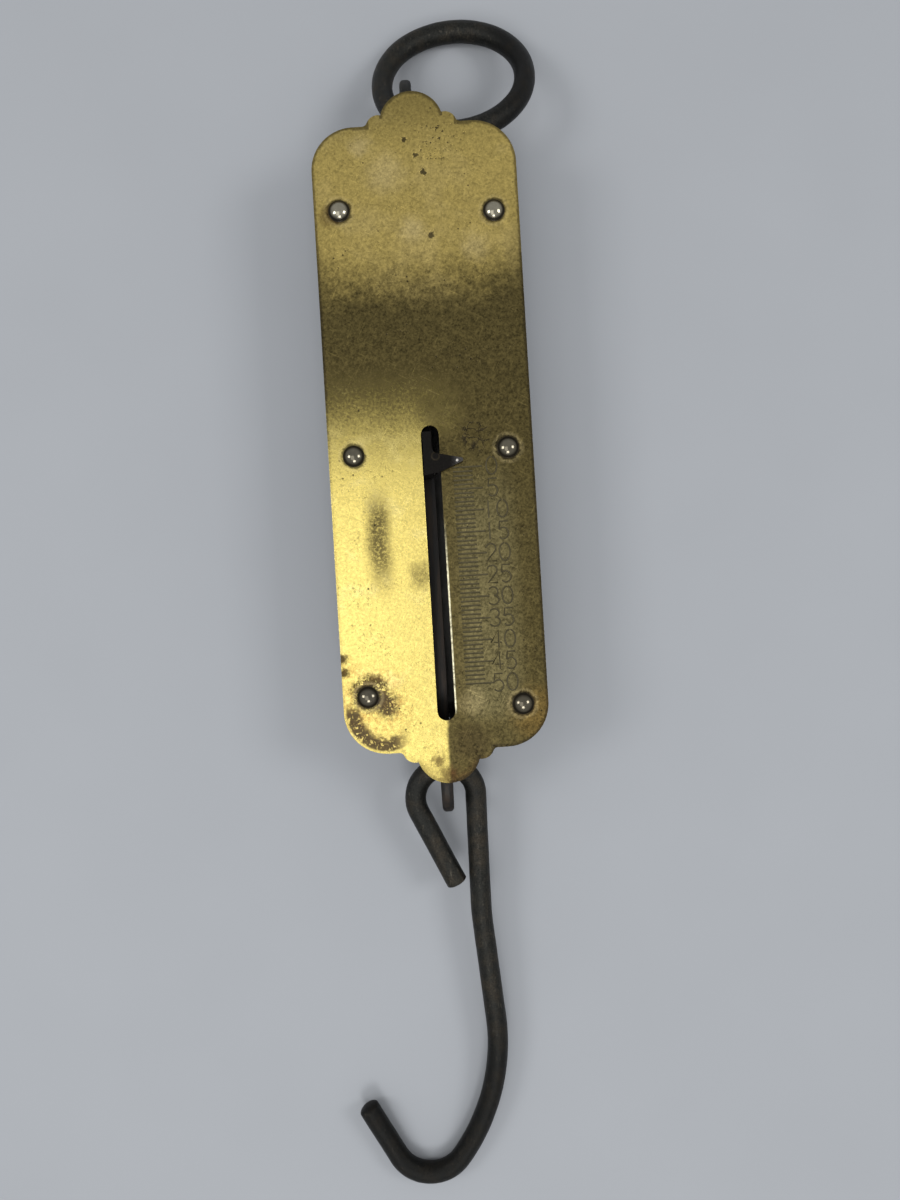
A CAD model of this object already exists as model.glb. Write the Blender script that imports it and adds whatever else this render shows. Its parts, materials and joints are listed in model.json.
# %% [markdown]
# # A brass-faced spring balance
# The balance lies on its back. Its brass face carries a scale and is riveted over a pressed steel case.
# Inside, a spring pulls a flat bar upwards; a pointer on the bar shows through a slot in the brass, and a
# hook hangs in the bar's eye. The solids of every part are loaded first and never moved. Each part that
# the eye rests on is then modelled again with softer edges, in exactly the same place.

# %% Load the frame
import json
import math
import bmesh
import bpy
from mathutils import Matrix, Vector, noise


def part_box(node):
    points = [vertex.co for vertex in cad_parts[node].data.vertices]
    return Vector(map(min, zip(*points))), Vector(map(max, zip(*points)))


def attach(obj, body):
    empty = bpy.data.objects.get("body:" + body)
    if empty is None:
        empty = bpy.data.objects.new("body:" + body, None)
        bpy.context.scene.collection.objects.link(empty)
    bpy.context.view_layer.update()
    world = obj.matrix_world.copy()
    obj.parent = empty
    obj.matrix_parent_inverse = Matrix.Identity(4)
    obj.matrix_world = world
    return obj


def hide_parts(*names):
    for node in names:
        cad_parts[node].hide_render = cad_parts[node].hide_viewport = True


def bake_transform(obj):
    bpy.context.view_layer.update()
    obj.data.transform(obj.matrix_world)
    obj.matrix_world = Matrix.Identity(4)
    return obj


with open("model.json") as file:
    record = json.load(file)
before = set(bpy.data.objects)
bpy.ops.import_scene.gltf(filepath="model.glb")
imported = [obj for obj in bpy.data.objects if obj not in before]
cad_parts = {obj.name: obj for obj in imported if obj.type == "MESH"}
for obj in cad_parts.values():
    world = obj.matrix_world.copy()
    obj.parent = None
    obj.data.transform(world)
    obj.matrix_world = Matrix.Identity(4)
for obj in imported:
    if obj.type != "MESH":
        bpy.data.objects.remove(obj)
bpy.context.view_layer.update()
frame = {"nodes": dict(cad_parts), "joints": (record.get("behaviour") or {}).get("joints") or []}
MM = 0.001
pivots = {j["name"]: Vector(j["pos_m"]) for j in frame["joints"] if "pos_m" in j}

# %% [markdown]
# ## Sizes that the face gives
# Every place on the balance is measured from its brass face, so the sizes of the face come first. What the
# solid can tell is read from its box; the rest are the radii that the outline is drawn with. Both ends of
# the face are alike: a round lobe at the tip, a small scroll and a hollow on each side of it, a straight
# shoulder and a round corner.

# %% Sizes of the face
plate_low, plate_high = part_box("face_plate")
HALF_W = plate_high.x
TIP_Y = plate_high.y
FACE_Z = plate_high.z
BACK_Z = plate_low.z
CORNER_R = 10 * MM
LOBE_R = 7.5 * MM
LOBE_RISE = 7.7 * MM
SCROLL_R = 2.9 * MM
SCROLL_X = 7.8 * MM
SCROLL_DROP = 0.4 * MM
HOLLOW_R = 1.2 * MM
SHOULDER_Y = TIP_Y - LOBE_RISE
LOBE_AT = Vector((0, TIP_Y - LOBE_R))
CORNER_AT = Vector((HALF_W - CORNER_R, SHOULDER_Y - CORNER_R))
print("face in mm:", round(2 * HALF_W / MM, 1), "x", round(2 * TIP_Y / MM, 1))

# %% Sizes of the slot and the places of the rivets
SLOT_W = 4.2 * MM
SLOT_TOP = 2.7 * MM
SLOT_BOTTOM = -66.5 * MM
RIVETS = {
    n: (sum(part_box(n), Vector()) / 2).xy for n in sorted(frame["nodes"]) if n.startswith("rivet_")
}
print("slot in mm:", round((SLOT_TOP - SLOT_BOTTOM) / MM, 1), "long; rivets:", len(RIVETS))

# %% [markdown]
# ## Shader maths as plain expressions
# A finish is a chain of small nodes. Written out one by one they are hard to read, so a socket is wrapped
# in a class that knows +, -, * and a few named operations. Each operator adds the Math node it stands for.


# %% A socket that can be calculated with
class Signal:
    """The output of a node, which Python's operators can work on."""

    def __init__(self, sheet, socket):
        self.sheet, self.socket = sheet, socket

    def _math(self, operation, *others):
        return self.sheet.add("ShaderNodeMath", {"operation": operation}, [self, *others])

    def __add__(self, other):
        return self._math("ADD", other)

    def __sub__(self, other):
        return self._math("SUBTRACT", other)

    def __rsub__(self, other):
        return self.sheet.add("ShaderNodeMath", {"operation": "SUBTRACT"}, [other, self])

    def __mul__(self, other):
        return self._math("MULTIPLY", other)

    def __gt__(self, other):
        return self._math("GREATER_THAN", other)

    def __lt__(self, other):
        return self._math("LESS_THAN", other)

    def most(self, other):
        return self._math("MAXIMUM", other)

    def band(self, low, high):
        """0 at low and beyond, 1 at high and beyond, smooth between; low may be the larger one."""
        settings = {"interpolation_type": "SMOOTHSTEP"}
        if low < high:
            return self.sheet.add("ShaderNodeMapRange", settings, [self, low, high, 0.0, 1.0])
        return self.sheet.add("ShaderNodeMapRange", settings, [self, high, low, 1.0, 0.0])

    __radd__, __rmul__ = __add__, __mul__


# %% [markdown]
# ## One method that makes every node
# The settings of a node, such as the kind of noise, decide which sockets it shows, so they are set first.
# Then its sockets are filled in order, or by name, with numbers, colours or other signals. The few
# patterns that every finish here is made of are methods too: noise, scattered cells, cracks, and a blotch
# at a given place.


# %% A sheet of nodes for one finish
class Sheet:
    """The nodes of one material, with distances in millimetres from the object's own origin."""

    def __init__(self, name):
        self.material = bpy.data.materials.new(name)
        self.material.use_nodes = True
        self.tree = self.material.node_tree
        self.tree.nodes.clear()
        metres = self.add("ShaderNodeTexCoord", {}, {}, "Object")
        self.place = self.add("ShaderNodeVectorMath", {"operation": "SCALE"}, {0: metres, "Scale": 1 / MM})
        split = self.node("ShaderNodeSeparateXYZ", {}, [self.place])
        self.x, self.y, self.z = (Signal(self, s) for s in split.outputs)

    def node(self, kind, settings, sockets):
        made = self.tree.nodes.new(kind)
        for name, value in settings.items():
            setattr(made, name, value)
        pairs = sockets.items() if isinstance(sockets, dict) else enumerate(sockets)
        for key, value in pairs:
            if isinstance(value, Signal):
                self.tree.links.new(value.socket, made.inputs[key])
            else:
                made.inputs[key].default_value = value
        return made

    def add(self, kind, settings, sockets, output=0):
        return Signal(self, self.node(kind, settings, sockets).outputs[output])

    def vector(self, operation, *values, output=0):
        """Vector maths on places or colours."""
        return self.add("ShaderNodeVectorMath", {"operation": operation}, values, output)

    def noise(self, size, detail=2.0, rough=0.5, place=None, offset=0.0):
        """Soft noise from 0 to 1 whose blobs are about size millimetres wide."""
        place = place or self.place
        if offset:
            place = self.vector("ADD", place, (offset, offset, offset))
        sockets = {"Vector": place, "Scale": 1 / size, "Detail": detail, "Roughness": rough}
        return self.add("ShaderNodeTexNoise", {}, sockets)

    def cells(self, size, output="Distance"):
        """Distance to the nearest of many scattered points, or a value of its own for each of them."""
        return self.add("ShaderNodeTexVoronoi", {}, {"Vector": self.place, "Scale": 1 / size}, output)

    def cracks(self, size, place):
        """Distance to the borders between scattered points, which run like cracks."""
        settings = {"feature": "DISTANCE_TO_EDGE"}
        return self.add("ShaderNodeTexVoronoi", settings, {"Vector": place, "Scale": 1 / size})

    def stretched(self, by, turn=0.0):
        """The place, turned about Z and then scaled along each axis, for patterns that run one way."""
        place = self.place
        if turn:
            place = self.add("ShaderNodeMapping", {}, {"Vector": place, "Rotation": (0, 0, turn)})
        return self.vector("MULTIPLY", place, by)

    def far_from(self, x, y, place=None):
        """Distance in the plane of the face from a point of it."""
        flat = self.vector("MULTIPLY", place or self.place, (1, 1, 0))
        return self.vector("DISTANCE", flat, (x, y, 0), output="Value")

    def blotch(self, x, y, reach, solid, ragged, size=2.2):
        """1 within solid millimetres of a place on the face, 0 beyond reach, with a ragged border."""
        edge = (self.noise(size, 4.0, 0.7) - 0.5) * ragged
        return (self.far_from(x, y) + edge).band(reach, solid)

    def mix(self, factor, first, second):
        """Colour first where the factor is 0, second where it is 1."""
        settings = {"data_type": "RGBA", "blend_type": "MIX"}
        # sockets 6 and 7 and output 2 are the ones that a Mix node uses for colours
        return self.add("ShaderNodeMix", settings, {0: factor, 6: first, 7: second}, 2)

    def tint(self, colour, strength):
        """Colour made darker or lighter by a changing number."""
        if isinstance(colour, tuple):
            colour = colour[:3]
        return self.add("ShaderNodeVectorMath", {"operation": "SCALE"}, {0: colour, "Scale": strength})

    def finish(self, colour, roughness, metallic, height=None, depth=0.0, specular=0.5):
        """Joins the finish to a Principled shader; height is in units of depth millimetres."""
        sockets = {"Base Color": colour, "Roughness": roughness, "Metallic": metallic}
        sockets["Specular IOR Level"] = specular
        if height is not None:
            bump = {"Strength": 1.0, "Distance": depth * MM, "Height": height}
            sockets["Normal"] = self.add("ShaderNodeBump", {}, bump)
        shader = self.add("ShaderNodeBsdfPrincipled", {}, sockets)
        self.node("ShaderNodeOutputMaterial", {}, [shader])
        return self.material


# %% [markdown]
# ## The brass
# The face was once bright, and age has worked on it unevenly: ochre at the top, a dark band above the
# slot, an olive film around the scale, and a rubbed, bright field at the lower left. Around the lower left
# rivet the metal is eaten brown. A pattern that repeats can't say this, because the patches belong to
# places. So the finish reads its place on the face, and is built up as a painter would do it: each layer
# is a short function that takes the colour so far and returns the next. The numbers in a layer are places
# and distances in millimetres, measured from the middle of the face.

# %% Colours of the brass
GOLD = (0.72, 0.575, 0.165, 1)
PALE_GOLD = (0.76, 0.63, 0.24, 1)
POLISHED = (0.80, 0.74, 0.50, 1)
OCHRE = (0.43, 0.325, 0.098, 1)
SCUFF = (0.60, 0.48, 0.235, 1)
OLIVE = (0.145, 0.120, 0.052, 1)
BAND = (0.092, 0.071, 0.025, 1)
SMOKE = (0.045, 0.032, 0.014, 1)
HONEY = (0.21, 0.13, 0.035, 1)
BROWN = (0.060, 0.026, 0.010, 1)
RUST = (0.36, 0.17, 0.040, 1)
CRUST = (0.24, 0.14, 0.030, 1)
PITTED = (0.036, 0.019, 0.008, 1)
SOOT = (0.020, 0.016, 0.010, 1)

# %% [markdown]
# ### Grains and regions
# Borders between patches look natural when noises of several sizes break them up, from a cloud of 14 mm
# down to flecks of half a millimetre. The layers share these noises, so they are made once. The slot
# divides the face: left of it the brass was rubbed bright, and right of it the film has stayed.


# %% What the layers share
class Brass(Sheet):
    """The sheet of the brass, with its grains, and its regions as masks from 0 to 1."""

    def __init__(self):
        super().__init__("aged_brass")
        self.cloud = self.noise(14, 4.0, 0.55)
        self.mottle = self.noise(1.8, 5.0, 0.62)
        self.grain = self.noise(0.7, 3.0, 0.75).band(0.38, 0.62)
        self.fleck = self.cells(0.42, "Color")
        self.crust = self.noise(1.1, 5.0, 0.75, offset=7)
        # a wavy copy of the place, which bends the cracks
        drift_sockets = {"Vector": self.place, "Scale": 0.9, "Detail": 3.0}
        drift = self.add("ShaderNodeTexNoise", {}, drift_sockets, "Color")
        self.wavy = self.vector("MULTIPLY_ADD", drift, (2.4, 2.4, 0), self.place)
        # the border between left and right is hard beside the slot and soft above it
        hard = (self.x + (self.noise(3, 3.0) - 0.5) * 1.2).band(0.5, -0.6)
        soft = (self.x + (self.grain - 0.5) * 5).band(10, -8)
        self.left = hard + (soft - hard) * self.y.band(-1, 5)
        self.right = 1 - self.left
        # going down the face: where the dark film begins, and on the left where the bright field begins
        self.down = self.y + (self.cloud - 0.5) * 9 + (self.mottle - 0.5) * 10
        self.dark = self.down.band(47, 29)
        speckled = self.down + (self.grain - 0.5) * 7 + (self.fleck - 0.5) * 10
        self.bright = self.left * speckled.band(15, -12)


# %% [markdown]
# ### Film above, bright field below
# The first layers are the large ones. The upper end is ochre with a few rubbed patches and goes dark
# along its border. The dark band lies across the face above the slot, and on its right it turns olive
# further down. The bright field comes last, because it was rubbed free of the film.

# %% The ochre end, the dark band and the olive film
RUBBED = ((-7, 62, 7), (-12.7, 69, 3.5), (-1.5, 49, 4.5), (13, 44, 5))     # x, y and reach


def ochre_end(s):
    colour = s.mix(s.cloud.band(0.45, 0.65) * 0.15, OCHRE, SCUFF)
    for x, y, reach in RUBBED:
        colour = s.mix(s.blotch(x, y, reach, 0.5, 5) * 0.4, colour, SCUFF)
    lobe = (s.y + (s.mottle - 0.5) * 8).band(66, 80)
    sides = (s.x * s.x + (s.cloud - 0.5) * 150).band(400, 620) * s.y.band(58, 40)
    return s.mix(lobe.most(sides) * 0.5, colour, BAND)


def film(s, colour):
    colour = s.mix(s.dark, colour, BAND)
    colour = s.mix(s.right * s.down.band(-2, -22), colour, OLIVE)
    # darker along the right side, beside the upper end of the slot, and at the lower right
    colour = s.mix(s.right * s.dark * s.x.band(15, 21) * 0.95, colour, BAND)
    colour = s.mix(s.right * s.x.band(7.5, 3.5) * s.y.band(8, -2) * 0.85, colour, BAND)
    colour = s.mix(s.right * s.y.band(-63, -69) * 0.85, colour, BAND)
    # a pale scuff and a smoky patch below the scale
    colour = s.mix(s.blotch(6, -62.5, 4.5, 1, 5) * s.right * 0.15, colour, SCUFF)
    return s.mix(s.blotch(5.5, -72, 6, 2, 4) * s.right * 0.55, colour, SMOKE)


# %% The bright field and its smears
def bright_field(s, colour):
    colour = s.mix(s.bright, colour, GOLD)
    pale = s.noise(7, 5.0, 0.6, offset=11).band(0.5, 0.75)
    colour = s.mix(s.bright * pale * 0.7, colour, PALE_GOLD)
    # a dark patch just above the slot
    return s.mix(s.blotch(0.8, 6, 5.5, 1, 4) * 0.6, colour, BAND)


def smears(s, colour):
    """A long smear down the middle of the bright field, and a short one beside the slot."""
    middle = s.x + (s.cloud - 0.5) * 3
    across = middle.band(-17.5, -14) * middle.band(-9, -12.5)
    along = s.y.band(-40, -26) * s.y.band(-9, -19)
    both = (across * along).most(s.blotch(-4, -32, 4.5, 1, 5) * 0.7 * s.left)
    broken = (s.mottle * 0.6 + s.grain * 0.6).band(-0.1, 0.75)
    return s.mix(both * broken * 0.95, colour, BAND)


def stains(s, colour):
    """Stains at the lower right corner, along the lower lobe and at its tip."""
    colour = s.mix(s.blotch(21.5, -66, 9, 2, 6) * 0.5, colour, HONEY)
    from_lobe = s.far_from(0, -LOBE_AT.y / MM) + (s.mottle - 0.5) * 4
    colour = s.mix(from_lobe.band(4.5, 7.5) * s.y.band(-74, -78) * 0.5, colour, BROWN)
    tip = s.blotch(-2.5, -76, 2.6, 0.3, 5, 1.0).most(s.blotch(-0.5, -79, 3.4, 0.5, 5, 1.2))
    return s.mix(tip * 0.75, colour, BROWN)


# %% [markdown]
# ### Damage
# Damage sits on top of the films. Round the lower left rivet damp has eaten the brass: dark brown spots
# and veins lie between yellow grains. The roughness and the bump need to know where, so the functions for
# damage return their masks too. Pits are the near parts of scattered cells, and cracks the borders between
# cells.


# %% Metal eaten round the lower left rivet
def eaten_metal(s, colour):
    """Returns the colour, where the metal is eaten, and the dark spots in it."""
    from_corner = s.far_from(-CORNER_AT.x / MM, -CORNER_AT.y / MM)
    rim = (from_corner + (s.mottle - 0.5) * 4).band(5.2, 7.2) * s.y.band(-60.5, -64)
    rim = rim * from_corner.band(9.7, 9.1) * s.x.band(-8, -13)
    eaten = rim.most(s.blotch(-14, -62, 4.2, 1.6, 4, 1.4))
    warm = s.blotch(-16.5, -62, 12, 5, 10).most(s.blotch(-22.6, -53.5, 5, 1, 5))
    colour = s.mix(warm * s.crust.band(0.42, 0.62) * 0.55, colour, RUST)
    colour = s.mix(eaten * (0.1 + s.crust * 0.4), colour, CRUST)
    veins = eaten * s.cracks(1.0, s.wavy).band(0.3, 0.12)
    near = s.blotch(-17.4, -59.4, 5.4, 3.4, 4, 1.4) * s.crust.band(0.34, 0.5)
    at_edge = s.blotch(-23.4, -50.8, 1.6, 0.5, 2.4, 0.9).most(s.blotch(-23.2, -54, 1.5, 0.4, 2.4, 0.9))
    spots = veins.most(near).most(at_edge).most(eaten * s.crust.band(0.52, 0.6))
    return s.mix(spots * 0.92, colour, PITTED), eaten, spots


# %% Pits and cracks
DEEP_PITS = ((0.5, 66, 0.9), (2.2, 62, 1.0), (3.2, 47.2, 1.1), (-2, 70, 0.8), (10, -2.6, 1.5))


def pitting(s, colour):
    """Pits, most of them below the upper lobe, and cracks by the pointer. Returns colour and pits."""
    dense = s.noise(9, 2.0, offset=3).band(0.5, 0.6).most(s.blotch(5, 70, 7, 2, 5))
    specks = s.noise(0.8, 3.0, 0.6, offset=17).band(0.585, 0.64)
    pits = s.cells(2.2).band(0.15, 0.06) * dense
    pits = pits.most(specks * s.blotch(6, 70, 8.5, 3, 6).most(dense * 0.35))
    for x, y, reach in DEEP_PITS:
        pits = pits.most(s.blotch(x, y, reach, 0.3, 3.4, 0.9))
    crazed = s.cracks(2.4, s.wavy).band(0.075, 0.03) * s.blotch(10.6, -0.2, 4.2, 3.0, 4)
    pits = pits.most(crazed * s.crust.band(0.32, 0.44))
    return s.mix(pits * 0.85, colour, SOOT), pits


# %% [markdown]
# ### Dirt and wear
# Dirt stays where a cloth can't reach: round the rivet heads, along the border and on the blanked edge.
# The border is alike in all four quarters, so it is written once, with the place folded into one quarter
# by taking its absolute value. Wear shows where something rubs: along the slot, and in fine scratches.


# %% Dirt round the rivets and along the border
def rivet_dirt(s, colour):
    """Dirt round every head, a rubbed ring outside it, and a shadow beside the upper left one."""
    for x, y in RIVETS.values():
        gap = s.far_from(x / MM, y / MM) + (s.mottle - 0.5) * 1.5
        colour = s.mix(gap.band(4.0, 3.3) * gap.band(2.7, 3.2) * s.crust * 0.35, colour, SCUFF)
        colour = s.mix(gap.band(3.3, 2.6) * 0.8, colour, SOOT)
    return s.mix(s.blotch(-20.3, 53, 3.6, 1.5, 3, 1.2) * 0.45, colour, BROWN)


def border_dirt(s, colour):
    folded = s.vector("ABSOLUTE", s.place)
    aside, ahead = (Signal(s, o) for o in s.node("ShaderNodeSeparateXYZ", {}, [folded]).outputs[:2])
    corner_x, corner_y = CORNER_AT / MM
    wander = (s.mottle - 0.5) * 1.2
    corner = (s.far_from(corner_x, corner_y, folded) + wander).band(9.2, 9.7)
    corner = corner * (aside > corner_x) * (ahead > corner_y)
    lobe = (s.far_from(0, LOBE_AT.y / MM, folded) + wander).band(6.6, 7.2) * (ahead > 75) * (aside < 7.4)
    shoulder = (ahead + wander).band(72.4, 73.0) * (aside > 10) * (aside < corner_x)
    flank = (aside + wander).band(23.2, 23.7) * (ahead < corner_y)
    border = flank.most(corner).most(shoulder).most(lobe) * (0.6 - s.bright * 0.4)
    blanked_edge = s.z.band(23.06, 22.9) * 0.7
    return s.mix(border.most(blanked_edge), colour, SOOT)


# %% Wear along the slot, and scratches
SCRATCH_W = 0.32            # in mm; along the scratch the noise is drawn out twenty times


def slot_wear(s, colour):
    """The right edge of the slot, which the pointer has rubbed bright."""
    worn = s.x.band(1.9, 2.05) * s.x.band(2.55, 2.35) * s.y.band(-18, -34) * s.y.band(-65.5, -63)
    return s.mix(worn * s.crust.band(0.3, 0.5) * 0.9, colour, POLISHED)


def scratches(s):
    """Fine scratches in two directions, as a mask."""
    one_way = s.noise(SCRATCH_W, 2.0, 0.5, s.stretched((0.05, 1, 1), 0.5))
    other_way = s.noise(SCRATCH_W, 2.0, 0.5, s.stretched((0.05, 1, 1), -1.1), 9)
    return one_way.band(0.66, 0.72).most(other_way.band(0.66, 0.72))


# %% All layers together
def brass():
    s = Brass()
    colour = ochre_end(s)
    for layer in (film, bright_field, smears, stains):
        colour = layer(s, colour)
    colour, eaten, spots = eaten_metal(s, colour)
    colour, pits = pitting(s, rivet_dirt(s, colour))
    colour = slot_wear(s, border_dirt(s, colour))
    patch = s.mottle.band(0.30, 0.70)
    speckle = (patch - 0.5) * 0.18 + (s.grain - 0.5) * 0.26 + (s.fleck - 0.5) * 0.38
    filmed = s.dark * (1 - s.bright)
    # the grain is plainest in the film, and scratches are lighter than the film they cut through
    tone = 1.02 + speckle * (1 - s.bright * 0.25 + filmed * 0.8) + scratches(s) * (0.2 + filmed * 0.35)
    rough = 0.30 + (s.mottle - 0.5) * 0.2 - s.bright * 0.04 + eaten * 0.12 + pits * 0.3
    height = (s.mottle - 0.5) * 0.5 + s.grain * 0.22 - pits * 1.4 - spots * 0.8
    print("nodes in the brass:", len(s.tree.nodes))
    return s.finish(s.tint(colour, tone), rough, 0.94 - eaten * 0.3, height, 0.03)


# %% [markdown]
# ## The stamped marks
# Dirt stays in the grooves of the stamped figures, so they have a finish of their own, which the cut
# gives to the faces that it makes.


# %% Dirt in the grooves
GROOVE = (0.070, 0.058, 0.027, 1)


def groove_dirt():
    s = Sheet("groove_dirt")
    tone = 0.7 + s.noise(0.9, 3.0) * 0.7
    return s.finish(s.tint(GROOVE, tone), 0.55, 0.6)


# %% [markdown]
# ## The steels
# The ring, the hook and the top eye are black, from the forge and from years of handling, with a brown
# bloom where the scale has worn. Two noises give that: a wide one for the bloom and one drawn out along
# the bar for the streaks of the drawing die. The bowl of the hook and the right side of the ring are
# darkest.

# %% Blackened wire
FORGE_BLACK = (0.020, 0.020, 0.017, 1)
BLOOM = (0.046, 0.038, 0.027, 1)
BARE_STREAK = (0.10, 0.088, 0.068, 1)


def black_steel(name, scale=1.0):
    s = Sheet(name)
    bloom = s.noise(4.5 * scale, 4.0, 0.6).band(0.42, 0.72)
    streak = s.noise(0.8, 4.0, 0.7, s.stretched((1, 0.35, 1)))
    grain = s.noise(0.4, 3.0, 0.75).band(0.25, 0.75)
    colour = s.mix(bloom, FORGE_BLACK, BLOOM)
    colour = s.mix(streak.band(0.56, 0.72) * 0.7, colour, BARE_STREAK)
    darkest = s.y.band(-130, -165).most(s.x.band(15, 26))
    tone = (0.24 + grain * 0.85) * (1 - darkest * 0.65)
    height = (streak - 0.5) + (grain - 0.5) * 0.8
    rough = 0.5 + (bloom - 0.5) * 0.12 + (grain - 0.5) * 0.2
    return s.finish(s.tint(colour, tone), rough, 0.7, height, 0.05, specular=0.35)


# %% [markdown]
# The case is darkened sheet with a little rust, and the bar is brown and streaked along its length. The
# pointer is black but for its arm, whose end is worn grey; its stem shows the ring of a peened pin, and a
# bright nick lies near the tip.

# %% Sheet steel of the case, and the brown bar
SHEET_DARK = (0.06, 0.058, 0.055, 1)
SHEET_GREY = (0.13, 0.125, 0.115, 1)
SHEET_RUST = (0.11, 0.05, 0.022, 1)
BAR_BLACK = (0.010, 0.009, 0.008, 1)
BAR_BROWN = (0.026, 0.018, 0.012, 1)


def sheet_steel():
    s = Sheet("dark_sheet_steel")
    cloud = s.noise(11, 4.0, 0.6)
    grain = s.noise(0.6, 4.0, 0.65)
    rust = s.noise(5, 5.0, 0.7, offset=5).band(0.6, 0.72)
    colour = s.mix(cloud.band(0.25, 0.8), SHEET_DARK, SHEET_GREY)
    colour = s.mix(rust * 0.6, colour, SHEET_RUST)
    rough = 0.42 + (cloud - 0.5) * 0.2 + rust * 0.25
    return s.finish(s.tint(colour, 0.8 + grain * 0.4), rough, 0.85 - rust * 0.5, grain - 0.5, 0.03)


def brown_steel():
    s = Sheet("brown_bar_steel")
    streak = s.noise(1.2, 4.0, 0.65, s.stretched((1, 0.12, 1)))
    spot = s.noise(0.7, 3.0, 0.7)
    colour = s.mix(streak.band(0.4, 0.65), BAR_BLACK, BAR_BROWN)
    return s.finish(s.tint(colour, 0.7 + spot * 0.6), 0.5 + (spot - 0.5) * 0.2, 0.6, streak - 0.5, 0.04)


# %% The pointer
POINTER_BLACK = (0.008, 0.007, 0.006, 1)
POINTER_GREY = (0.20, 0.19, 0.18, 1)
NICK = (0.7, 0.66, 0.6, 1)


def pointer_steel():
    s = Sheet("grey_pointer_steel")
    grain = s.noise(0.5, 4.0, 0.7)
    worn = (s.x + (grain - 0.5) * 1.5).band(4.2, 7.0) * s.z.band(23.5, 24.2)
    colour = s.mix(worn * 0.3, POINTER_BLACK, POINTER_GREY)
    from_pin = s.far_from(1.0, -4.75)
    colour = s.mix(from_pin.band(1.15, 0.95) * from_pin.band(0.6, 0.8), colour, SOOT)
    colour = s.mix(s.blotch(6.0, -6.0, 0.42, 0.15, 0.6, 0.6), colour, NICK)
    height = (grain - 0.5) + from_pin.band(1.05, 0.5)
    rough = 0.34 - worn * 0.1 + grain * 0.12
    return s.finish(s.tint(colour, 0.6 + grain * 0.8), rough, 0.85, height, 0.06, specular=0.3)


# %% [markdown]
# The rivets are the only clean steel: their domes are rubbed whenever the face is wiped, and the dirt
# stays at their rims. The spring and the inner pieces are oiled.

# %% Rivets and spring
RIM_DIRT = (0.025, 0.021, 0.015, 1)
LOWER_RIVETS = (0.13, 0.115, 0.085, 1)
UPPER_RIVETS = (0.30, 0.275, 0.21, 1)
OILED_DARK = (0.17, 0.165, 0.155, 1)
OILED_LIGHT = (0.30, 0.285, 0.26, 1)


def bright_steel():
    s = Sheet("bright_rivet_steel")
    spot = s.noise(0.8, 3.0, 0.6)
    low = s.z.band(24.2, 23.5)
    clean = s.mix(s.y.band(-20, 50), LOWER_RIVETS, UPPER_RIVETS)
    colour = s.mix(low, clean, RIM_DIRT)
    return s.finish(s.tint(colour, 0.7 + spot * 0.6), 0.09 + spot * 0.1 + low * 0.2, 1.0, spot - 0.5, 0.012)


def spring_steel():
    s = Sheet("oiled_spring_steel")
    spot = s.noise(1.6, 4.0, 0.65)
    colour = s.mix(spot.band(0.4, 0.7), OILED_DARK, OILED_LIGHT)
    return s.finish(colour, 0.32 + (spot - 0.5) * 0.25, 0.95, spot - 0.5, 0.02)


# %% Make the finishes
FINISH = {
    "brass": brass(),
    "groove": groove_dirt(),
    "wire": black_steel("black_wire"),
    "eye": black_steel("black_eye", 0.6),
    "case": sheet_steel(),
    "bar": brown_steel(),
    "pointer": pointer_steel(),
    "rivet": bright_steel(),
    "spring": spring_steel(),
}
print("finishes:", ", ".join(sorted(FINISH)))

# %% [markdown]
# ## From a bmesh to a finished piece
# A bmesh is a mesh being worked on. When it is done it becomes an object, its sharp edges are marked so
# that the rest shades smoothly, and it is tied to the body that it moves with and to the solid that it
# stands for.

# %% Finish a piece
SHARP = math.radians(32)


def piece(name, bm, finishes, body, node):
    mesh = bpy.data.meshes.new(name)
    bm.to_mesh(mesh)
    bm.free()
    mesh.shade_smooth()
    mesh.set_sharp_from_angle(angle=SHARP)
    for finish in finishes:
        mesh.materials.append(FINISH[finish])
    made = bpy.data.objects.new(name, mesh)
    bpy.context.scene.collection.objects.link(made)
    if body:
        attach(made, body)
    if node:
        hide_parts(node)
    return made


def report(made):
    print(made.name, "faces:", len(made.data.polygons))
    return made


# %% [markdown]
# ## A bar swept along a path
# Ring, hook and spring are all round wire, and so are the strokes that the figures are stamped with.
# Instead of working out every vertex, one ring of vertices is extruded from place to place along the path,
# and each place carries the ring without twisting it. A little noise then takes away the look of a tube.


# %% Places along a path
def places_along(path, closed=False):
    """A matrix at each point of the path: Z runs along it, and X and Y turn as little as possible."""
    count = len(path)
    places, flat = [], None
    for i, point in enumerate(path):
        back = path[i - 1] if closed or i else point
        ahead = path[(i + 1) % count] if closed or i < count - 1 else point
        along = (ahead - back).normalized()
        flat = flat - along * flat.dot(along) if flat else along.orthogonal()
        flat.normalize()
        turn = Matrix((flat, along.cross(flat), along)).transposed()
        places.append(Matrix.Translation(point) @ turn.to_4x4())
    return places


# %% Sweep a ring along a path
def step(bm, edges, move):
    """Extrudes a loop of edges and moves the new loop."""
    made = bmesh.ops.extrude_edge_only(bm, edges=edges)["geom"]
    verts = [g for g in made if isinstance(g, bmesh.types.BMVert)]
    bmesh.ops.transform(bm, matrix=move, verts=verts)
    new = set(verts)
    return [g for g in made if isinstance(g, bmesh.types.BMEdge) and new.issuperset(g.verts)]


def sweep(bm, path, radius, sides, closed=False):
    """A round bar along the path. Returns its first and last loop of edges, and its places."""
    places = places_along(path, closed)
    ring = bmesh.ops.create_circle(bm, segments=sides, radius=radius, matrix=places[0])["verts"]
    first = list({e for v in ring for e in v.link_edges})
    last = first
    for here, there in zip(places, places[1:]):
        last = step(bm, last, there @ here.inverted())
    if closed:
        bmesh.ops.bridge_loops(bm, edges=first + last)
    return first, last, places


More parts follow.
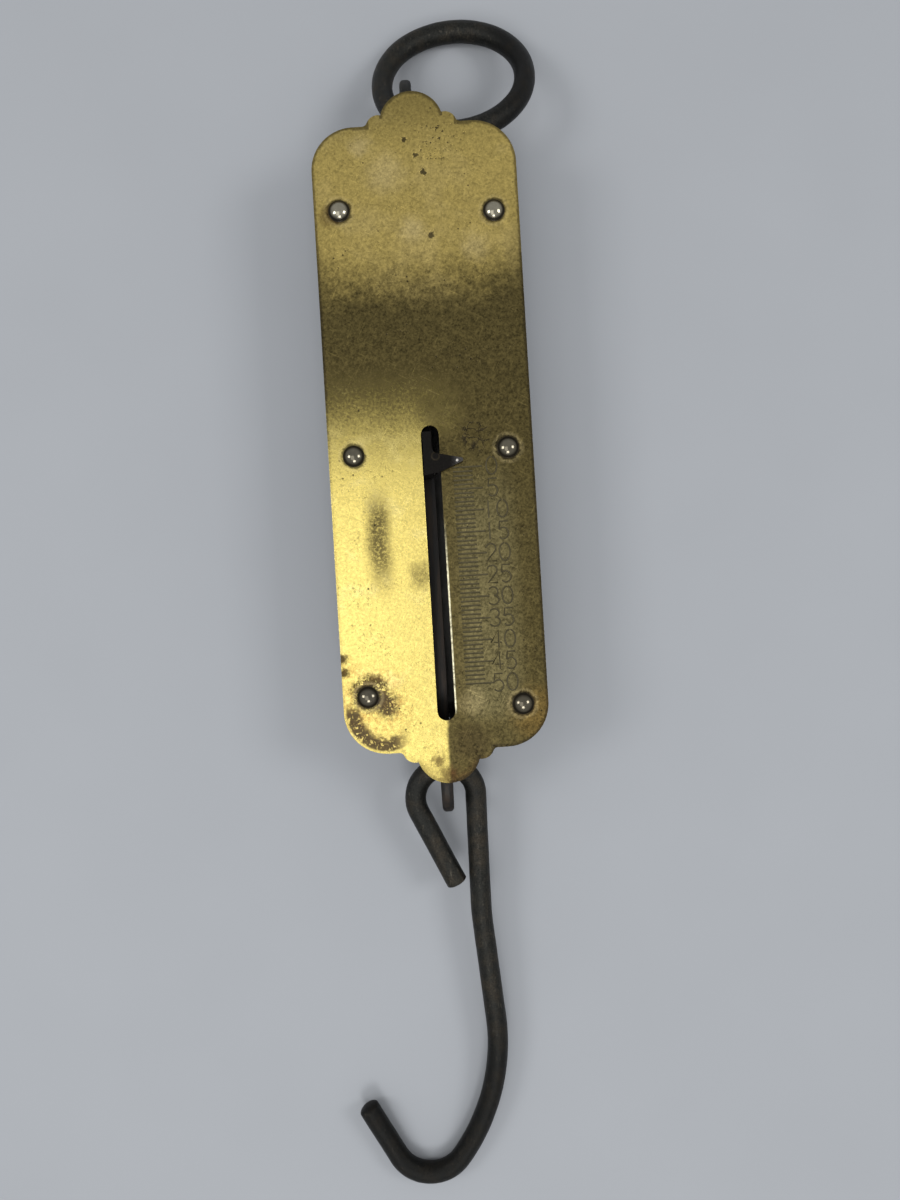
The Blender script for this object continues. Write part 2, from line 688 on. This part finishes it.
# %% Close the ends, and roughen
def close_ends(bm, first, last):
    """Puts a flat face on the first and on the last loop of a bar."""
    bmesh.ops.contextual_create(bm, geom=first)
    bmesh.ops.contextual_create(bm, geom=last)


def roughen(bm, size, depth, seed=0.0):
    """Moves each vertex up to depth along its normal, in waves of that size."""
    bm.normal_update()
    for v in bm.verts:
        v.co += v.normal * depth * noise.noise(v.co / size + Vector((seed, seed, seed)))


# %% [markdown]
# ## The brass face
# The outline is drawn as a toolmaker would mark it out: one quarter as a chain of arcs and lines, then
# mirrored twice. A vertex that is spun about a centre leaves an arc behind it, so every arc is one step.


# %% Draw an outline from arcs and lines
def arc(bm, start, centre, degrees, steps):
    """Spins a vertex about a centre and returns the last vertex of the arc."""
    made = bmesh.ops.spin(
        bm, geom=[start], cent=(*centre, start.co.z), axis=(0, 0, 1),
        angle=math.radians(degrees), steps=steps,
    )
    return next(g for g in made["geom_last"] if isinstance(g, bmesh.types.BMVert))


def line(bm, start, x, y):
    """Draws a line from a vertex to a place and returns its far end."""
    made = bmesh.ops.extrude_vert_indiv(bm, verts=[start])["verts"][0]
    made.co.xy = (x, y)
    return made


def meeting(c0, r0, c1, r1):
    """The upper point where two circles cross."""
    gap = c1 - c0
    d = gap.length
    a = (d * d + r0 * r0 - r1 * r1) / (2 * d)
    h = math.sqrt(r0 * r0 - a * a)
    side = Vector((-gap.y, gap.x)) / d
    return c0 + gap * (a / d) + side * h


def bearing(centre, point):
    return math.degrees(math.atan2(point.y - centre.y, point.x - centre.x))


# %% Outline of the plate
MERGE = 1e-6


def plate_outline(bm, z):
    """Closed outline of the plate: lobe, scroll, hollow, shoulder and corner, in four quarters."""
    scroll = Vector((SCROLL_X, SHOULDER_Y - SCROLL_DROP))
    hollow_y = SHOULDER_Y + HOLLOW_R
    reach = SCROLL_R + HOLLOW_R
    hollow = Vector((scroll.x + math.sqrt(reach ** 2 - (hollow_y - scroll.y) ** 2), hollow_y))
    cross = meeting(LOBE_AT, LOBE_R, scroll, SCROLL_R)
    at = bm.verts.new((0, TIP_Y, z))
    at = arc(bm, at, LOBE_AT, bearing(LOBE_AT, cross) - 90, 14)
    at = arc(bm, at, scroll, bearing(scroll, hollow) - bearing(scroll, cross), 8)
    at = arc(bm, at, hollow, -90 - (bearing(hollow, scroll) % 360 - 360), 6)
    at = line(bm, at, CORNER_AT.x, SHOULDER_Y)
    at = arc(bm, at, CORNER_AT, -90, 14)
    line(bm, at, HALF_W, 0)
    for axis in "XY":
        bmesh.ops.mirror(bm, geom=bm.verts[:] + bm.edges[:], merge_dist=MERGE, axis=axis)
    bmesh.ops.remove_doubles(bm, verts=bm.verts[:], dist=MERGE)


trial = bmesh.new()
plate_outline(trial, FACE_Z)
print("outline:", len(trial.verts), "points, loose ends:", sum(len(v.link_edges) != 2 for v in trial.verts))
trial.free()

# %% [markdown]
# The slot and the rivet holes are further loops inside the outline. A modifier could cut them out of a
# plain plate, but filling all loops at once keeps every arc as it was drawn. The filled face is extruded
# to the thickness of the brass, and its rims are bevelled a little, as the blanking tool and long use have
# left them.

# %% The blank of the face
HOLE_R = 1.25 * MM
RIM = 0.22 * MM
RIM_ANGLE = 1.2             # radians; the rims are square, and the steps of the arcs are far below this


def slot_loop(bm, z):
    r = SLOT_W / 2
    top, low = SLOT_TOP - r, SLOT_BOTTOM + r
    start = bm.verts.new((-r, low, z))
    at = line(bm, start, -r, top)
    at = arc(bm, at, (0, top), -180, 14)
    at = line(bm, at, r, low)
    at = arc(bm, at, (0, low), -180, 14)
    bmesh.ops.remove_doubles(bm, verts=[start, at], dist=MERGE)


def face_blank():
    bm = bmesh.new()
    plate_outline(bm, BACK_Z)
    slot_loop(bm, BACK_Z)
    for x, y in RIVETS.values():
        place = Matrix.Translation((x, y, BACK_Z))
        bmesh.ops.create_circle(bm, segments=40, radius=HOLE_R, matrix=place)
    bmesh.ops.triangle_fill(bm, use_beauty=True, use_dissolve=False, edges=bm.edges[:])
    bmesh.ops.recalc_face_normals(bm, faces=bm.faces[:])
    made = bmesh.ops.extrude_face_region(bm, geom=bm.faces[:])["geom"]
    top = [g for g in made if isinstance(g, bmesh.types.BMVert)]
    bmesh.ops.translate(bm, verts=top, vec=(0, 0, FACE_Z - BACK_Z))
    bmesh.ops.recalc_face_normals(bm, faces=bm.faces[:])
    rims = [e for e in bm.edges if len(e.link_faces) == 2 and e.calc_face_angle() > RIM_ANGLE]
    bmesh.ops.bevel(
        bm, geom=rims, offset=RIM, offset_type="OFFSET", segments=3, profile=0.5,
        affect="EDGES", material=-1, clamp_overlap=True,
    )
    return bm


# %% [markdown]
# ## The scale
# Fifty divisions are struck with a chisel, every fifth one longer, and the plain numbers are struck with
# punches whose figures are single round strokes. A picture could show them, but real grooves catch the
# light, and they stay in the mesh when it is used elsewhere. Each stroke is a thin round bar swept along
# the figure, and the bars are cut out of the brass to nearly half their thickness.

# %% Sizes of the scale
DIVISIONS = 50
DIVISION = 50.8 * MM / DIVISIONS
NUMBERED = 5                # every fifth division is long and has a number
ZERO_Y = -7.5 * MM
TICK_LEFT = 4.9 * MM
TICK_RIGHT = 9.5 * MM
TICK_LONG = 11.7 * MM
TICK_R = 0.21 * MM
FIGURE_LEFT = 11.4 * MM
FIGURE_H = 4.1 * MM
FIGURE_W = 2.5 * MM
FIGURE_GAP = 0.75 * MM
FIGURE_R = 0.2 * MM
SINGLE_IN = 0.4             # a number of one figure stands this share of a column further right
print("one division in mm:", round(DIVISION / MM, 3))


# %% Strokes of the figures
def bow(cx, cy, rx, ry, start, end, steps):
    """Points on an ellipse, in shares of the figure's width and height."""
    turns = [math.radians(start + (end - start) * i / steps) for i in range(steps + 1)]
    return [(cx + rx * math.cos(t), cy + ry * math.sin(t)) for t in turns]


FIGURES = {
    "0": [bow(0.5, 0.5, 0.5, 0.5, 90, 440, 26)],
    "1": [[(0.5, 0.0), (0.5, 1.0)]],
    "2": [bow(0.5, 0.72, 0.46, 0.28, 165, -30, 12) + [(0.08, 0.0), (1.0, 0.0)]],
    "3": [bow(0.48, 0.74, 0.44, 0.26, 150, -80, 12) + bow(0.48, 0.26, 0.5, 0.27, 80, -150, 12)],
    "4": [[(0.72, 0.0), (0.72, 1.0), (0.0, 0.3), (0.62, 0.3)], [(0.82, 0.3), (1.0, 0.3)]],
    "5": [[(0.92, 1.0), (0.16, 1.0), (0.08, 0.56)] + bow(0.46, 0.32, 0.48, 0.32, 130, -140, 14)],
}


def stroke(bm, points, radius):
    """A thin bar along the points, at the height of the face, with closed ends."""
    path = [Vector((x, y, FACE_Z + radius * 0.1)) for x, y in points]
    first, last, _ = sweep(bm, path, radius, 8)
    close_ends(bm, first, last)


# %% All the marks as one tool
def number(bm, value, y):
    shift = SINGLE_IN if value < 10 else 0
    for column, figure in enumerate(str(value)):
        left = FIGURE_LEFT + (column + shift) * (FIGURE_W + FIGURE_GAP)
        for points in FIGURES[figure]:
            placed = [(left + u * FIGURE_W, y + (v - 0.5) * FIGURE_H) for u, v in points]
            stroke(bm, placed, FIGURE_R)


def scale_cutter():
    bm = bmesh.new()
    for division in range(DIVISIONS + 1):
        y = ZERO_Y - division * DIVISION
        numbered = division % NUMBERED == 0
        stroke(bm, [(TICK_LEFT, y), (TICK_LONG if numbered else TICK_RIGHT, y)], TICK_R)
        if numbered:
            number(bm, division, y)
    bmesh.ops.recalc_face_normals(bm, faces=bm.faces[:])
    return bm


# %% Cut the scale into the face
def cut(target, tool):
    """Takes the tool's shape out of the target, applies the result and deletes the tool."""
    modifier = target.modifiers.new("cut", "BOOLEAN")
    modifier.operation, modifier.solver = "DIFFERENCE", "EXACT"
    modifier.material_mode, modifier.use_self = "TRANSFER", True
    modifier.object = tool
    bpy.context.view_layer.update()
    cut_mesh = bpy.data.meshes.new_from_object(target.evaluated_get(bpy.context.evaluated_depsgraph_get()))
    target.modifiers.clear()
    old = target.data
    target.data = cut_mesh
    bpy.data.meshes.remove(old)
    bpy.data.objects.remove(tool)


face = piece("brass_face", face_blank(), ["brass", "groove"], "case", "face_plate")
cutter = piece("scale_cutter", scale_cutter(), ["groove"], None, None)
cut(face, cutter)
face.data.set_sharp_from_angle(angle=SHARP)
# the level faces are shaded flat, so that no groove bends the light on the metal round it
for polygon in face.data.polygons:
    polygon.use_smooth = abs(polygon.normal.z) < 0.999
report(face)

# %% [markdown]
# ## The rivets
# A rivet head is a turned shape, so its half section is drawn once and spun round the axis, and the shank
# and the upset tail behind the flange come with it. A squashed ball would lack the small step at the rim,
# where the head stands on the brass and dirt gathers.

# %% Sizes of the rivets
SHANK_R = 1.2 * MM
TAIL_R = 2.1 * MM
TAIL_RISE = 0.9 * MM
RIM_STEP = 0.12 * MM
RIM_ROUND = 0.1 * MM


# %% Spin a section round an axis
def turned(section, centre):
    """A turned solid from points (radius, height) on its half section, from axis to axis."""
    bm = bmesh.new()
    at = bm.verts.new((centre[0] + section[0][0], centre[1], section[0][1]))
    for r, z in section[1:]:
        at = bmesh.ops.extrude_vert_indiv(bm, verts=[at])["verts"][0]
        at.co = (centre[0] + r, centre[1], z)
    bmesh.ops.spin(
        bm, geom=bm.verts[:] + bm.edges[:], cent=(*centre, 0), axis=(0, 0, 1),
        angle=math.tau, steps=48, use_merge=True,
    )
    bmesh.ops.remove_doubles(bm, verts=bm.verts[:], dist=1e-7)
    bmesh.ops.recalc_face_normals(bm, faces=bm.faces[:])
    return bm


def dome(r, base, rise, direction, steps=9):
    """Points of a shallow dome from its rim to its crown."""
    ball = (r * r + rise * rise) / (2 * rise)
    half = math.asin(min(1.0, r / ball))
    turns = [half * (1 - i / steps) for i in range(steps + 1)]
    return [(ball * math.sin(t), base + direction * (ball * math.cos(t) - ball + rise)) for t in turns]


# %% The rivets
def rivet(node):
    low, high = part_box(node)
    head_r = (high.x - low.x) / 2
    base = FACE_Z + RIM_STEP
    tail = low.z + TAIL_RISE
    section = dome(head_r - RIM_ROUND, base, high.z - base, 1)[::-1]
    section += [(head_r, FACE_Z + RIM_STEP * 0.6), (head_r, FACE_Z), (SHANK_R, FACE_Z), (SHANK_R, tail)]
    section += dome(TAIL_R, tail, tail - low.z, -1)
    bm = turned(section, RIVETS[node])
    return report(piece(node + "_head", bm, ["rivet"], "case", node))


for node in RIVETS:
    rivet(node)

# %% [markdown]
# ## The hanging ring
# The ring is one turn of bar, bent round and closed. A torus would be quicker, but a swept bar can be
# roughened like the hook, so that both look like the same wire. Its place and tilt come from the solid:
# the ring hangs in the top eye and its far side lies on the bench.

# %% The ring
RING_R = 17.8 * MM          # to the middle of the wire
RING_WIRE_R = 2.6 * MM
RING_TILT = math.radians(22.91)
RING_LEAN = math.radians(3.3)
RING_STEPS = 160
WIRE_SIDES = 28


def ring():
    low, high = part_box("hanging_ring")
    place = Matrix.Translation((low + high) / 2)
    place = place @ Matrix.Rotation(-RING_LEAN, 4, "Y") @ Matrix.Rotation(-RING_TILT, 4, "X")
    turns = [math.tau * i / RING_STEPS for i in range(RING_STEPS)]
    path = [place @ Vector((RING_R * math.cos(t), RING_R * math.sin(t), 0)) for t in turns]
    bm = bmesh.new()
    sweep(bm, path, RING_WIRE_R, WIRE_SIDES, closed=True)
    bmesh.ops.recalc_face_normals(bm, faces=bm.faces[:])
    # wide, shallow waves first, then a finer unevenness
    roughen(bm, 6 * MM, 0.05 * MM)
    roughen(bm, 1.3 * MM, 0.02 * MM, 5)
    return report(piece("ring_bar", bm, ["wire"], "hanging_ring", "hanging_ring"))


ring()

# %% [markdown]
# ## The hook
# The hook is a single bar bent in one plane: an open loop through the eye, a long shank with an easy bend,
# and the bowl. Its path is written as a bender would: so far straight on, then so many degrees round. That
# way each length and each bend can be measured on the real hook and changed by itself.

# %% Sizes of the hook
HOOK_WIRE_R = 2.6 * MM
HOOK_UP = 2.4 * MM          # the loop's crown stands this far above the pivot
HOOK_DOWN = 1.0 * MM        # and this far below it, towards the bench
HOOK_LEAN = math.radians(-0.6)
# bends as direction, radius in mm and degrees; straights as a length in mm; both from the loop's crown
LOOP = [("left", 8, 115), ("straight", 20)]
SHANK = [
    ("right", 7, 90), ("straight", 27.5), ("left", 70, 5), ("straight", 24.5),
    ("right", 53.5, 42), ("right", 9.5, 115), ("straight", 14.5),
]
BEND_PITCH = 0.8 * MM


# %% Follow a list of bends
def bent(moves, heading):
    """Points of a bar that starts at the origin and follows the moves, in the XY plane."""
    point, points = Vector((0, 0, 0)), [Vector((0, 0, 0))]
    for move in moves:
        if move[0] == "straight":
            length = move[1] * MM
            count = max(2, round(length / BEND_PITCH))
            ahead = Vector((math.cos(heading), math.sin(heading), 0))
            points += [point + ahead * length * (i + 1) / count for i in range(count)]
            point = points[-1]
            continue
        sign = 1 if move[0] == "left" else -1
        radius, turn = move[1] * MM, math.radians(move[2])
        count = max(6, round(radius * turn / BEND_PITCH))
        centre = point + Vector((-math.sin(heading), math.cos(heading), 0)) * sign * radius
        arm = point - centre
        turns = [sign * turn * (i + 1) / count for i in range(count)]
        points += [centre + Matrix.Rotation(t, 3, "Z") @ arm for t in turns]
        point, heading = points[-1], heading + sign * turn
    return points


# %% [markdown]
# The bar lies on the bench, so its slope follows from its own length and the height of the eye. Its two
# ends were sawn off and filed: the loop's end is nearly flat, and the tip is rounder.


# %% Slope and ends of the hook
def hook_slope(points):
    """The bar leans down so that its lowest point just touches the bench."""
    reach = -min(p.y for p in points)
    drop = pivots["hook_swing"].z - HOOK_DOWN - HOOK_WIRE_R
    return math.asin(drop / reach)


def round_end(bm, loop, here, rise, steps, flat):
    """Domes the end of a bar up to rise; flat is the share of the quarter turn that is left out."""
    turns = [math.pi / 2 * i / steps * (1 - flat) for i in range(steps + 1)]
    for before, turn in zip(turns, turns[1:]):
        shrink = math.cos(turn) / math.cos(before)
        there = here @ Matrix.Translation((0, 0, rise * (math.sin(turn) - math.sin(before))))
        smaller = there @ Matrix.Diagonal((shrink, shrink, 1, 1))
        loop = step(bm, loop, smaller @ here.inverted())
        here = there
    bmesh.ops.contextual_create(bm, geom=loop)


# %% The hook
def hook():
    loop = bent(LOOP, math.pi)
    shank = bent(SHANK, 0)
    flat = loop[::-1] + shank[1:]
    start = pivots["hook_swing"] + Vector((0, HOOK_UP, -HOOK_DOWN))
    lying = Matrix.Rotation(hook_slope(flat), 4, "X")
    place = Matrix.Translation(start) @ lying @ Matrix.Rotation(HOOK_LEAN, 4, "Z")
    bm = bmesh.new()
    first, last, places = sweep(bm, [place @ p for p in flat], HOOK_WIRE_R, WIRE_SIDES)
    outward = places[0] @ Matrix.Rotation(math.pi, 4, "X")
    round_end(bm, first, outward, 0.5 * MM, 3, 0.1)
    round_end(bm, last, places[-1], 1.1 * MM, 5, 0.2)
    bmesh.ops.recalc_face_normals(bm, faces=bm.faces[:])
    roughen(bm, 7 * MM, 0.06 * MM, 2)
    roughen(bm, 1.4 * MM, 0.025 * MM, 9)
    made = report(piece("hook_bar", bm, ["wire"], "hook", "hook"))
    lows = [min(v.co[i] for v in made.data.vertices) for i in range(3)]
    print("lowest corner of the hook in mm:", [round(x / MM, 2) for x in lows])


hook()

# %% [markdown]
# ## The other solids
# The bar, the top eye, the case and the small inner pieces already have their true shape, so they are not
# modelled again. A copy of each is merged, and its edges get a small live bevel, so that they catch the
# light as filed edges do.

# %% Soften a solid's edges
LEVEL = math.radians(0.5)           # faces that meet at less than this are one face
EDGE = math.radians(50)             # edges sharper than this are bevelled


def softened(node, name, finish, body, width):
    bm = bmesh.new()
    bm.from_mesh(frame["nodes"][node].data)
    bmesh.ops.remove_doubles(bm, verts=bm.verts[:], dist=MERGE)
    bmesh.ops.dissolve_limit(
        bm, angle_limit=LEVEL, use_dissolve_boundaries=False, verts=bm.verts[:], edges=bm.edges[:]
    )
    made = piece(name, bm, [finish], body, node)
    bevel = made.modifiers.new("filed edges", "BEVEL")
    bevel.width, bevel.segments, bevel.limit_method = width, 2, "ANGLE"
    bevel.angle_limit = EDGE
    return report(made)


softened("top_eye", "top_eye_bar", "eye", "case", 0.25 * MM)
softened("draw_bar", "pull_bar", "bar", "draw_bar", 0.25 * MM)
softened("pointer", "pointer_arm", "pointer", "draw_bar", 0.15 * MM)
softened("top_cross_pin", "cross_pin", "spring", "case", 0.3 * MM)
softened("upper_spring_nut", "upper_nut", "spring", "case", 0.2 * MM)
softened("lower_spring_nut", "lower_nut", "spring", "draw_bar", 0.2 * MM)
softened("pointer_rivet_upper", "pointer_pin_upper", "spring", "draw_bar", 0.08 * MM)
softened("pointer_rivet_lower", "pointer_pin_lower", "spring", "draw_bar", 0.08 * MM)
softened("back_shell", "pressed_case", "case", "case", 0.25 * MM)

# %% [markdown]
# ## The spring
# The solid spring is wound from six-sided wire. Here the same coil is swept again with round wire and
# close steps; each end is coned down on to its nut. When the bar is pulled down the coil has to stretch,
# so its vertices blend between the two bodies that its ends sit on.

# %% The spring
SPRING_WIRE_R = 1.15 * MM
COIL_R = 7.6 * MM
COIL_PITCH = 2.86 * MM
CONE_TURNS = 1.5
END_R = 3.4 * MM
STEPS_A_TURN = 36


def spring():
    low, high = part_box("spring")
    bottom, top = low.y + SPRING_WIRE_R, high.y - SPRING_WIRE_R
    axis = pivots["ring_swing"]         # the coil lies on one line with the two eyes
    turns = (top - bottom) / COIL_PITCH
    count = math.ceil(turns * STEPS_A_TURN)
    path = []
    for i in range(count + 1):
        t = turns * i / count
        r = END_R + (COIL_R - END_R) * min(1, min(t, turns - t) / CONE_TURNS)
        a = math.tau * t
        path.append(Vector((axis.x + r * math.cos(a), bottom + COIL_PITCH * t, axis.z + r * math.sin(a))))
    bm = bmesh.new()
    first, last, _ = sweep(bm, path, SPRING_WIRE_R, 12)
    close_ends(bm, first, last)
    bmesh.ops.recalc_face_normals(bm, faces=bm.faces[:])
    made = piece("wound_spring", bm, ["spring"], None, "spring")
    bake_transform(made)
    print("spring:", round(turns, 2), "turns")
    return report(made)


spring()

# %% [markdown]
# ## Floor, light and camera
# The floor is a plain and pale bench, so that nothing but the object has a pattern.

# %% The floor
FLOOR = 2.4
PALE = (0.312, 0.324, 0.344, 1)


def floor():
    bm = bmesh.new()
    bmesh.ops.create_grid(bm, x_segments=1, y_segments=1, size=FLOOR / 2)
    mesh = bpy.data.meshes.new("bench")
    bm.to_mesh(mesh)
    bm.free()
    s = Sheet("pale_bench")
    tone = 0.97 + s.noise(40, 2.0) * 0.06
    mesh.materials.append(s.finish(s.tint(PALE, tone), 0.9, 0.0))
    made = bpy.data.objects.new("bench", mesh)
    bpy.context.scene.collection.objects.link(made)
    print("floor in m:", FLOOR, "x", FLOOR)


floor()

# %% [markdown]
# Metal shows what it mirrors, so the lamps are placed for their reflections. One large soft lamp hangs
# above and to the left: the bright field of the brass mirrors it, and the rest of the face mirrors the
# darker room. Three small lamps stand further off, to the left, to the right and below, and each of them
# leaves a small spot of light on the domes of the rivets. The world fills in from all sides.

# %% Lamps and world
KEY_SIZE, KEY_LEVEL = (0.40, 0.50), 1.22
SPOT_SIZE, SPOT_LEVEL = (0.25, 0.25), 8.5
SPOTS = {"left": (-0.56, 0.04, 0.58), "right": (0.56, 0.04, 0.58), "low": (0.0, -0.53, 0.62)}
ROOM_COLOUR, ROOM_LEVEL = (0.96, 0.98, 1.0, 1), 0.66


def lamp(name, place, target, size, level):
    """A lamp whose face is as bright as a white card under light of that level."""
    data = bpy.data.lights.new(name, "AREA")
    data.shape, data.size, data.size_y = "RECTANGLE", size[0], size[1]
    data.energy = level * math.pi * size[0] * size[1]
    made = bpy.data.objects.new(name, data)
    made.location = place
    made.rotation_euler = (Vector(target) - Vector(place)).to_track_quat("-Z", "Y").to_euler()
    bpy.context.scene.collection.objects.link(made)
    print(name, "in watts:", round(data.energy, 2))


lamp("soft_key", (-0.21, -0.16, 0.75), (-0.21, -0.16, 0), KEY_SIZE, KEY_LEVEL)
for side, place in SPOTS.items():
    lamp("small_" + side, place, (0, 0, 0), SPOT_SIZE, SPOT_LEVEL)
world = bpy.data.worlds.new("soft_room")
bpy.context.scene.world = world
world.use_nodes = True
background = world.node_tree.nodes["Background"]
background.inputs["Color"].default_value = ROOM_COLOUR
background.inputs["Strength"].default_value = ROOM_LEVEL

# %% [markdown]
# The camera hangs straight over the balance and close to it, as the photographer's did. So the hook and
# the ring, which lie lower than the face, come out a little smaller than in a drawing.

# %% The camera
LENS, SENSOR = 27.03, 36    # in mm
CAMERA_AT = (2.4 * MM, -38.4 * MM, 234.1 * MM)
ROLL = math.radians(3.43)
data = bpy.data.cameras.new("overhead")
data.lens, data.sensor_width, data.clip_start = LENS, SENSOR, 0.01
camera = bpy.data.objects.new("overhead", data)
camera.location = CAMERA_AT
camera.rotation_euler = (0, 0, -ROLL)
bpy.context.scene.collection.objects.link(camera)
bpy.context.scene.camera = camera
bpy.context.scene.view_settings.view_transform = "Standard"
print("camera above the face in mm:", round((CAMERA_AT[2] - FACE_Z) / MM, 1))
